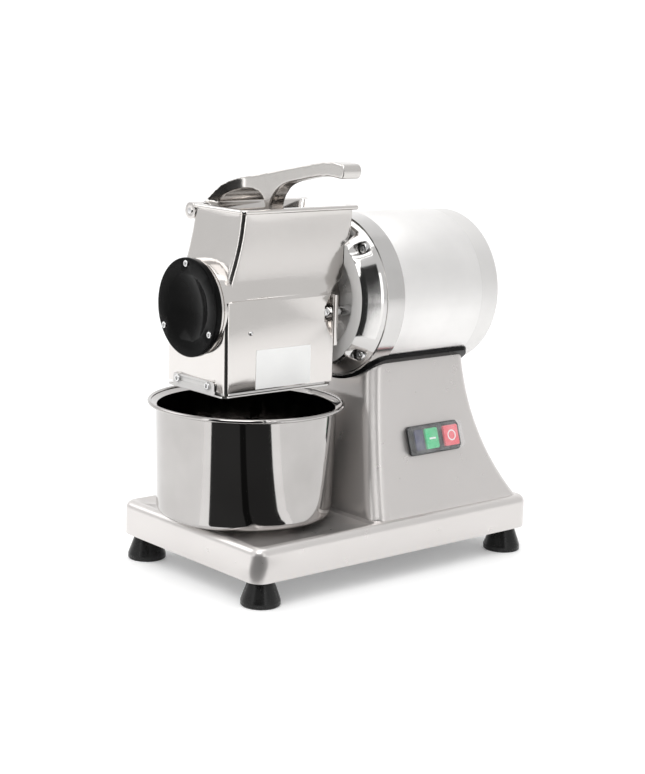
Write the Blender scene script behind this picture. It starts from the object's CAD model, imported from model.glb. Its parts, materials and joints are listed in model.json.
"""Looks for the shaved ice machine: materials, marks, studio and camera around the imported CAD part."""
import json
from math import cos, pi, radians, sin

import bpy
from mathutils import Matrix, Vector


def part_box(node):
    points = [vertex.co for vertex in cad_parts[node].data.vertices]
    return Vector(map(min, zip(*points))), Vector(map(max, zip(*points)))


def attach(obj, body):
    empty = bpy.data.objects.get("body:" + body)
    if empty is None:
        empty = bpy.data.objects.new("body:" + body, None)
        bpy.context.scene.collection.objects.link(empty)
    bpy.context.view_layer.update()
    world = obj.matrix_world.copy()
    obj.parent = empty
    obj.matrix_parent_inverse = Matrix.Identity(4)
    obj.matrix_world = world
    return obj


# ---- camera --------------------------------------------------------------------------------
CAM_AZIMUTH = 49.07
CAM_DOWN = 11.23
CAM_ROLL = 1.85
CAM_PLACE = Vector((1.31606, -1.15543, 0.52325))
CAM_LENS = 81.085


def make_camera():
    a, d, r = (radians(v) for v in (CAM_AZIMUTH, CAM_DOWN, CAM_ROLL))
    forward = Vector((-sin(a) * cos(d), cos(a) * cos(d), -sin(d)))
    right = Vector((cos(a), sin(a), 0))
    up = right.cross(forward)
    right_r = cos(r) * right + sin(r) * up
    up_r = -sin(r) * right + cos(r) * up
    turn = Matrix((right_r, up_r, -forward)).transposed().to_4x4()
    data = bpy.data.cameras.new("camera")
    data.lens = CAM_LENS
    data.sensor_width = 36.0
    data.sensor_fit = "AUTO"
    data.clip_start = 0.05
    camera = bpy.data.objects.new("camera", data)
    camera.matrix_world = Matrix.Translation(CAM_PLACE) @ turn
    bpy.context.scene.collection.objects.link(camera)
    bpy.context.scene.camera = camera


make_camera()
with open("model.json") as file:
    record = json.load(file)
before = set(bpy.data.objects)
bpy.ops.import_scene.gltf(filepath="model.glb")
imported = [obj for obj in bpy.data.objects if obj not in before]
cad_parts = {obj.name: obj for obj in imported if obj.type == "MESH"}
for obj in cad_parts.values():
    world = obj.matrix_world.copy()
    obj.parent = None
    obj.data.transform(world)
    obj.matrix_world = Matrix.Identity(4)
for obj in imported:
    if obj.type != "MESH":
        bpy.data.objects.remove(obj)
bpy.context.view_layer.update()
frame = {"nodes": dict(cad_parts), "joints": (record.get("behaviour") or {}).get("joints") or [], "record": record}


# ---- materials -----------------------------------------------------------------------------
class Nodes:
    """Small builder for one procedural material."""

    def __init__(self, name):
        self.mat = bpy.data.materials.new(name)
        self.mat.use_nodes = True
        self.tree = self.mat.node_tree
        self.shader = self.tree.nodes["Principled BSDF"]
        self.coord = self.new("ShaderNodeTexCoord").outputs["Object"]

    def new(self, kind, **values):
        node = self.tree.nodes.new(kind)
        for key, value in values.items():
            setattr(node, key, value)
        return node

    def link(self, a, b):
        self.tree.links.new(a, b)

    def stretched(self, scale):
        node = self.new("ShaderNodeMapping")
        node.inputs["Scale"].default_value = scale
        self.link(self.coord, node.inputs["Vector"])
        return node.outputs["Vector"]

    def noise(self, scale, stretch=(1, 1, 1), detail=4.0, roughness=0.55):
        node = self.new("ShaderNodeTexNoise")
        node.inputs["Scale"].default_value = scale
        node.inputs["Detail"].default_value = detail
        node.inputs["Roughness"].default_value = roughness
        self.link(self.stretched(stretch), node.inputs["Vector"])
        return node.outputs["Fac"]

    def spread(self, value, low, high, start=0.3, end=0.7):
        node = self.new("ShaderNodeMapRange")
        node.inputs["From Min"].default_value = start
        node.inputs["From Max"].default_value = end
        node.inputs["To Min"].default_value = low
        node.inputs["To Max"].default_value = high
        self.link(value, node.inputs["Value"])
        return node.outputs["Result"]

    def tint(self, value, dark, light):
        node = self.new("ShaderNodeMix", data_type="RGBA")
        node.inputs["A"].default_value = (*dark, 1)
        node.inputs["B"].default_value = (*light, 1)
        self.link(value, node.inputs["Factor"])
        return node.outputs["Result"]

    def bump(self, value, depth, onto=None):
        node = self.new("ShaderNodeBump")
        node.inputs["Strength"].default_value = 1.0
        node.inputs["Distance"].default_value = depth
        self.link(value, node.inputs["Height"])
        if onto is not None:
            self.link(onto, node.inputs["Normal"])
        return node.outputs["Normal"]

    def facing(self, direction):
        """1 where the piece's own surface squarely faces a direction, else 0."""
        normal = self.new("ShaderNodeTexCoord").outputs["Normal"]
        dot = self.new("ShaderNodeVectorMath", operation="DOT_PRODUCT")
        self.link(normal, dot.inputs[0])
        dot.inputs[1].default_value = direction
        return self.spread(dot.outputs["Value"], 0.0, 1.0, 0.97, 0.99)

    def between(self, factor, value, other):
        node = self.new("ShaderNodeMix", data_type="FLOAT")
        self.link(factor, node.inputs["Factor"])
        self.link(value, node.inputs["A"])
        node.inputs["B"].default_value = other
        return node.outputs["Result"]

    def fixed(self, **values):
        for key, value in values.items():
            name = key.replace("_", " ")
            self.shader.inputs[name].default_value = value


def surface(name, dark, light, rough, metal=0.0, grain=60.0, stretch=(1, 1, 1), depth=0.00002,
            fine=900.0, coat=0.0, ior=1.5, shine=0.5, faced=None):
    """Metal, rubber or plastic with a slow drift of tone, fine grain in gloss and relief."""
    n = Nodes(name)
    slow = n.noise(grain / 8, (1, 1, 1), 3.0)
    grainy = n.noise(grain, stretch, 5.0)
    tiny = n.noise(fine, stretch, 2.0)
    n.link(n.tint(n.spread(slow, 0.0, 1.0), dark, light), n.shader.inputs["Base Color"])
    gloss = n.spread(grainy, rough[0], rough[1])
    n.fixed(Metallic=metal, Coat_Weight=coat, IOR=ior)
    if faced:
        flat = n.facing(Vector(faced))
        gloss = n.between(flat, gloss, FACED_ROUGHNESS)
        n.link(n.spread(flat, metal, FACED_METAL, 0.0, 1.0), n.shader.inputs["Metallic"])
    n.link(gloss, n.shader.inputs["Roughness"])
    n.link(n.bump(tiny, depth, n.bump(grainy, depth * 1.5)), n.shader.inputs["Normal"])
    n.shader.inputs["Specular IOR Level"].default_value = shine
    if coat:
        n.fixed(Coat_Roughness=0.06)
    return n.mat


def make_materials():
    m = {}
    m["cast_satin"] = surface(
        "cast_satin", (0.65, 0.625, 0.605), (0.68, 0.655, 0.635), (0.12, 0.16), 1.0, 70,
        depth=0.000002, fine=700)
    m["lever_polish"] = surface(
        "lever_polish", (0.58, 0.56, 0.54), (0.64, 0.62, 0.60), (0.15, 0.2), 1.0, 60,
        depth=0.000004, fine=500)
    m["base_paint"] = surface(
        "base_satin", (0.65, 0.625, 0.61), (0.68, 0.655, 0.64), (0.27, 0.33), 0.82, 60,
        depth=0.0000004, fine=600)
    m["polished"] = surface(
        "polished_cast", (0.58, 0.57, 0.56), (0.66, 0.65, 0.64), (0.06, 0.11), 1.0, 50,
        depth=0.000004, fine=500, faced=(0, -1, 0))
    m["brushed"] = surface(
        "brushed_steel", (0.80, 0.79, 0.78), (0.84, 0.83, 0.82), (0.46, 0.52), 1.0, 200,
        (1, 0.03, 1), 0.000001)
    m["ring_steel"] = surface(
        "ring_steel", (0.58, 0.57, 0.56), (0.64, 0.63, 0.62), (0.10, 0.16), 1.0, 200,
        (1, 0.03, 1), 0.000002)
    m["cover_steel"] = surface(
        "cover_sheet", (0.5, 0.5, 0.5), (0.6, 0.6, 0.6), (0.3, 0.42), 1.0, 120, (1, 0.05, 1))
    m["bowl_steel"] = surface(
        "bowl_steel", (0.41, 0.395, 0.385), (0.48, 0.465, 0.455), (0.04, 0.07), 1.0, 110,
        (1, 1, 0.03), 0.000001, fine=300)
    m["screw_steel"] = surface(
        "screw_steel", (0.62, 0.62, 0.62), (0.76, 0.76, 0.76), (0.08, 0.18), 1.0, 300)
    m["drum_steel"] = surface(
        "drum_steel", (0.5, 0.5, 0.5), (0.66, 0.66, 0.66), (0.22, 0.36), 1.0, 260, (1, 0.05, 1))
    m["bearing_steel"] = surface(
        "bearing_steel", (0.5, 0.5, 0.5), (0.6, 0.6, 0.6), (0.12, 0.2), 1.0, 200)
    m["foot_rubber"] = surface(
        "foot_rubber", (0.003, 0.003, 0.003), (0.010, 0.010, 0.010), (0.22, 0.34), 0.0, 120,
        depth=0.00002, shine=0.3)
    m["gasket_rubber"] = surface(
        "gasket_rubber", (0.003, 0.003, 0.003), (0.008, 0.008, 0.008), (0.12, 0.2), 0.0, 120,
        depth=0.00001, shine=0.10)
    m["black_plastic"] = surface(
        "black_plastic", (0.002, 0.002, 0.002), (0.005, 0.005, 0.005), (0.12, 0.17), 0.0, 150,
        depth=0.000003, shine=0.05)
    m["switch_black"] = surface(
        "switch_black", (0.008, 0.008, 0.009), (0.02, 0.02, 0.022), (0.3, 0.42), 0.0, 300)
    m["iron"] = surface(
        "grey_iron", (0.08, 0.08, 0.08), (0.16, 0.15, 0.15), (0.5, 0.7), 0.6, 200, depth=0.0001)
    m["copper"] = surface(
        "wound_copper", (0.4, 0.18, 0.08), (0.6, 0.3, 0.14), (0.3, 0.45), 1.0, 300, (1, 0.1, 1))
    m["bronze"] = surface(
        "bronze", (0.4, 0.26, 0.1), (0.52, 0.36, 0.16), (0.25, 0.4), 1.0, 200)
    m["rear_plastic"] = surface(
        "rear_cap", (0.72, 0.71, 0.70), (0.76, 0.75, 0.74), (0.44, 0.50), 0.9, 120,
        depth=0.0000015)
    m["button_green"] = surface(
        "button_green", (0.03, 0.46, 0.18), (0.06, 0.56, 0.24), (0.22, 0.34), 0.0, 200, coat=0.3)
    m["button_red"] = surface(
        "button_red", (0.72, 0.09, 0.12), (0.80, 0.13, 0.16), (0.22, 0.34), 0.0, 200, coat=0.3)
    m["lens_navy"] = surface(
        "lens_navy", (0.008, 0.008, 0.05), (0.015, 0.015, 0.08), (0.1, 0.2), 0.0, 200, coat=0.6)
    m["label_white"] = surface(
        "label_film", (0.80, 0.80, 0.79), (0.86, 0.86, 0.85), (0.3, 0.4), 0.0, 150,
        depth=0.000004)
    m["mark_white"] = surface(
        "mark_white", (0.8, 0.8, 0.8), (0.86, 0.86, 0.86), (0.3, 0.4), 0.0, 150)
    m["boot_clear"] = clear_boot()
    return m


def clear_boot():
    n = Nodes("clear_boot")
    cloudy = n.noise(90.0, (1, 1, 1), 4.0)
    n.link(n.spread(cloudy, 0.05, 0.16), n.shader.inputs["Roughness"])
    n.link(n.bump(cloudy, 0.00008), n.shader.inputs["Normal"])
    n.link(n.spread(cloudy, 0.04, 0.11), n.shader.inputs["Alpha"])
    n.fixed(Base_Color=(0.92, 0.94, 0.95, 1), IOR=1.45, Coat_Weight=0.6)
    return n.mat


FACED_ROUGHNESS = 0.42   # of a machined face on an otherwise polished casting
FACED_METAL = 0.10
BEVELS = {"cast_satin": 0.0008, "base_paint": 0.0006, "polished": 0.0006, "brushed": 0.0004,
          "screw_steel": 0.0003, "black_plastic": 0.0004, "switch_black": 0.0004}


def soften(obj, width):
    """Welds seams, rounds sharp edges a little and shades curved faces smoothly."""
    mesh = obj.data
    if "custom_normal" in mesh.attributes:
        mesh.attributes.remove(mesh.attributes["custom_normal"])
    mesh.polygons.foreach_set("use_smooth", [True] * len(mesh.polygons))
    weld = obj.modifiers.new("weld", "WELD")
    weld.merge_threshold = 1e-6
    if width:
        bevel = obj.modifiers.new("bevel", "BEVEL")
        bevel.width = width
        bevel.segments = 2
        bevel.limit_method = "ANGLE"
        bevel.angle_limit = radians(38)
        bevel.harden_normals = False
    split = obj.modifiers.new("split", "EDGE_SPLIT")
    split.split_angle = radians(32)
    split.use_edge_sharp = False


MOULDED = {"lever_handle": (0.0008, 9)}


def mould(obj, cell, rounds):
    """Rounds every edge of a casting generously, as a pattern maker would."""
    obj.modifiers.new("weld", "WELD").merge_threshold = 1e-6
    remesh = obj.modifiers.new("remesh", "REMESH")
    remesh.mode = "VOXEL"
    remesh.voxel_size = cell
    remesh.use_smooth_shade = True
    smooth = obj.modifiers.new("smooth", "SMOOTH")
    smooth.factor = 0.5
    smooth.iterations = rounds


def dress(materials):
    slots = {s["node"]: s["material_slot"] for s in frame["record"]["subparts"]}
    slots.update(lever_handle="lever_polish", motor_front_ring="ring_steel")
    for name, obj in frame["nodes"].items():
        obj.data.materials.clear()
        obj.data.materials.append(materials[slots[name]])
        if name in MOULDED:
            mould(obj, *MOULDED[name])
        else:
            soften(obj, BEVELS.get(slots[name], 0.0))


# ---- printed marks -------------------------------------------------------------------------
BUTTON_HALF = 0.0105
BUTTON_EDGE_ROUND = 0.0008
MARK_SINK = 0.0001
MARK_DEPTH = 0.00025
RING_RADII = (0.0056, 0.0043)
BAR_HALF_SIZES = ((0.0043, 0.0009), (0.0034, 0.00001))


def button_face(node):
    """Centre of a button's face with its across, upward and outward directions."""
    joint = next(j for j in frame["joints"] if j["name"] == node.replace("_button", "_press"))
    out = -Vector(joint["axis"]).normalized()
    across = Vector((0, 1, 0))
    up = out.cross(across)
    low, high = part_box(node)
    face = Vector((high.x - BUTTON_HALF * out.z, (low.y + high.y) / 2,
                   high.z - BUTTON_HALF * out.x))
    face += out * BUTTON_EDGE_ROUND * (out.x + out.z - 1)
    return face, across, up, out


def band(name, loops, material, body):
    """Thin closed band between two outlines, given as equal lists of points."""
    outer, inner, depth = loops
    n = len(outer)
    verts = outer + inner + [v + depth for v in outer] + [v + depth for v in inner]
    faces = []
    for k in range(n):
        j = (k + 1) % n
        faces += [(k, j, n + j, n + k), (2 * n + j, 2 * n + k, 3 * n + k, 3 * n + j),
                  (j, k, 2 * n + k, 2 * n + j), (n + k, n + j, 3 * n + j, 3 * n + k)]
    obj = mesh_object(name, verts, faces, False)
    obj.data.materials.append(material)
    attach(obj, body)
    return obj


def make_marks(materials):
    face, across, up, out = button_face("stop_button")
    turns = [2 * pi * k / 48 for k in range(48)]
    ring = [[face + across * r * cos(t) + up * r * sin(t) - out * MARK_SINK for t in turns]
            for r in RING_RADII]
    band("stop_mark", (*ring, out * MARK_DEPTH), materials["mark_white"], "stop_push")
    face, across, up, out = button_face("start_button")
    corners = ((-1, -1), (1, -1), (1, 1), (-1, 1))
    bar = [[face + across * w * sx + up * h * sy - out * MARK_SINK for sx, sy in corners]
           for w, h in BAR_HALF_SIZES]
    band("start_mark", (*bar, out * MARK_DEPTH), materials["mark_white"], "start_push")


# ---- studio --------------------------------------------------------------------------------
def mesh_object(name, verts, faces, smooth=True):
    mesh = bpy.data.meshes.new(name)
    mesh.from_pydata([tuple(v) for v in verts], [], faces)
    mesh.polygons.foreach_set("use_smooth", [smooth] * len(faces))
    obj = bpy.data.objects.new(name, mesh)
    bpy.context.scene.collection.objects.link(obj)
    return obj


def sweep_floor():
    """Pale floor that curves up into a backdrop behind the machine."""
    a = radians(CAM_AZIMUTH)
    away = Vector((-sin(a), cos(a), 0))
    side = Vector((cos(a), sin(a), 0))
    profile = [(-6.0, 0.0), (1.6, 0.0)]
    turns = [pi / 2 * k / 16 for k in range(1, 17)]
    profile += [(1.6 + 1.2 * sin(t), 1.2 - 1.2 * cos(t)) for t in turns]
    profile += [(2.8, 5.0)]
    verts = [side * w + away * u + Vector((0, 0, z))
             for u, z in profile for w in (-6.0, 6.0)]
    faces = [(2 * i, 2 * i + 1, 2 * i + 3, 2 * i + 2) for i in range(len(profile) - 1)]
    floor = mesh_object("floor", verts, faces)
    n = Nodes("pale_floor")
    tone = n.tint(n.noise(3.0), (0.90, 0.90, 0.90), (0.94, 0.94, 0.94))
    n.link(tone, n.shader.inputs["Base Color"])
    n.fixed(Roughness=0.6, Emission_Color=(1, 1, 1, 1), Emission_Strength=0.14)
    floor.data.materials.append(n.mat)


def emitter(name, colour, strength):
    mat = bpy.data.materials.new(name)
    mat.use_nodes = True
    shader = mat.node_tree.nodes["Principled BSDF"]
    shader.inputs["Base Color"].default_value = (0, 0, 0, 1)
    shader.inputs["Roughness"].default_value = 1.0
    shader.inputs["Specular IOR Level"].default_value = 0.0
    shader.inputs["Emission Color"].default_value = (*colour, 1)
    shader.inputs["Emission Strength"].default_value = strength
    return mat


def reflector(name, verts, faces, strength, colour=(1, 1, 1)):
    """A studio card that only shows in reflections."""
    card = mesh_object(name, verts, faces, False)
    card.data.materials.append(emitter(name, colour, strength))
    card.visible_camera = False
    card.visible_diffuse = False
    card.visible_shadow = False
    return card


CAM_FACING = -(90.0 - CAM_AZIMUTH)   # plan angle of the camera seen from the machine


def arc_wall(name, start, end, radius, low, high, strength, steps=12):
    """Upright curved card between two plan angles measured from the camera's direction."""
    angles = [radians(CAM_FACING + start + (end - start) * k / steps) for k in range(steps + 1)]
    verts = [(radius * cos(t), radius * sin(t), z) for t in angles for z in (low, high)]
    faces = [(2 * k, 2 * k + 1, 2 * k + 3, 2 * k + 2) for k in range(steps)]
    return reflector(name, verts, faces, strength)


def arc_floor(name, start, end, near, far, strength, z=0.0004, steps=12):
    """Flat ring sector on the floor."""
    angles = [radians(CAM_FACING + start + (end - start) * k / steps) for k in range(steps + 1)]
    verts = [(r * cos(t), r * sin(t), z) for t in angles for r in (near, far)]
    faces = [(2 * k, 2 * k + 1, 2 * k + 3, 2 * k + 2) for k in range(steps)]
    return reflector(name, verts, faces, strength)


def area(name, place, target, size, power):
    data = bpy.data.lights.new(name, "AREA")
    data.shape = "RECTANGLE"
    data.size, data.size_y = size
    data.energy = power
    light = bpy.data.objects.new(name, data)
    light.location = place
    light.rotation_euler = (Vector(target) - Vector(place)).to_track_quat("-Z", "Y").to_euler()
    bpy.context.scene.collection.objects.link(light)
    return light


STRIP_TONE = 2.2
STRIP_FLOOR_TONE = 1.5
CARD_TONES = [(-40, -10, 0.045), (-10, -4, 0.01), (-4, 24, 0.035)]


def studio():
    world = bpy.data.worlds.new("studio")
    world.use_nodes = True
    world.node_tree.nodes["Background"].inputs["Color"].default_value = (1, 1, 1, 1)
    world.node_tree.nodes["Background"].inputs["Strength"].default_value = 0.80
    bpy.context.scene.world = world
    bpy.context.scene.view_settings.view_transform = "Standard"
    sweep_floor()
    for start, end, tone in CARD_TONES:
        arc_wall(f"card_wall_{start}", start, end, 2.6, 0.0, 2.7, tone)
        arc_floor(f"card_floor_{start}", start, end, 0.24, 2.6, tone)
    arc_wall("strip_left", -48, -40, 2.5, 0.0, 1.8, STRIP_TONE)
    arc_floor("strip_floor_left", -48, -40, 0.24, 2.5, STRIP_FLOOR_TONE, 0.0006)
    arc_wall("strip_right", 24, 34, 2.5, 0.0, 1.8, STRIP_TONE)
    arc_floor("strip_floor_right", 24, 34, 0.24, 2.5, STRIP_FLOOR_TONE, 0.0006)
    area("key", (1.2, -1.6, 2.2), (0, 0, 0.2), (1.6, 1.6), 26)
    area("fill", (-1.6, -1.2, 1.6), (0, 0, 0.2), (1.4, 1.4), 10)
    area("top", (0.0, 0.2, 2.6), (0, 0, 0.2), (2.0, 2.0), 16)


materials = make_materials()
dress(materials)
make_marks(materials)
studio()
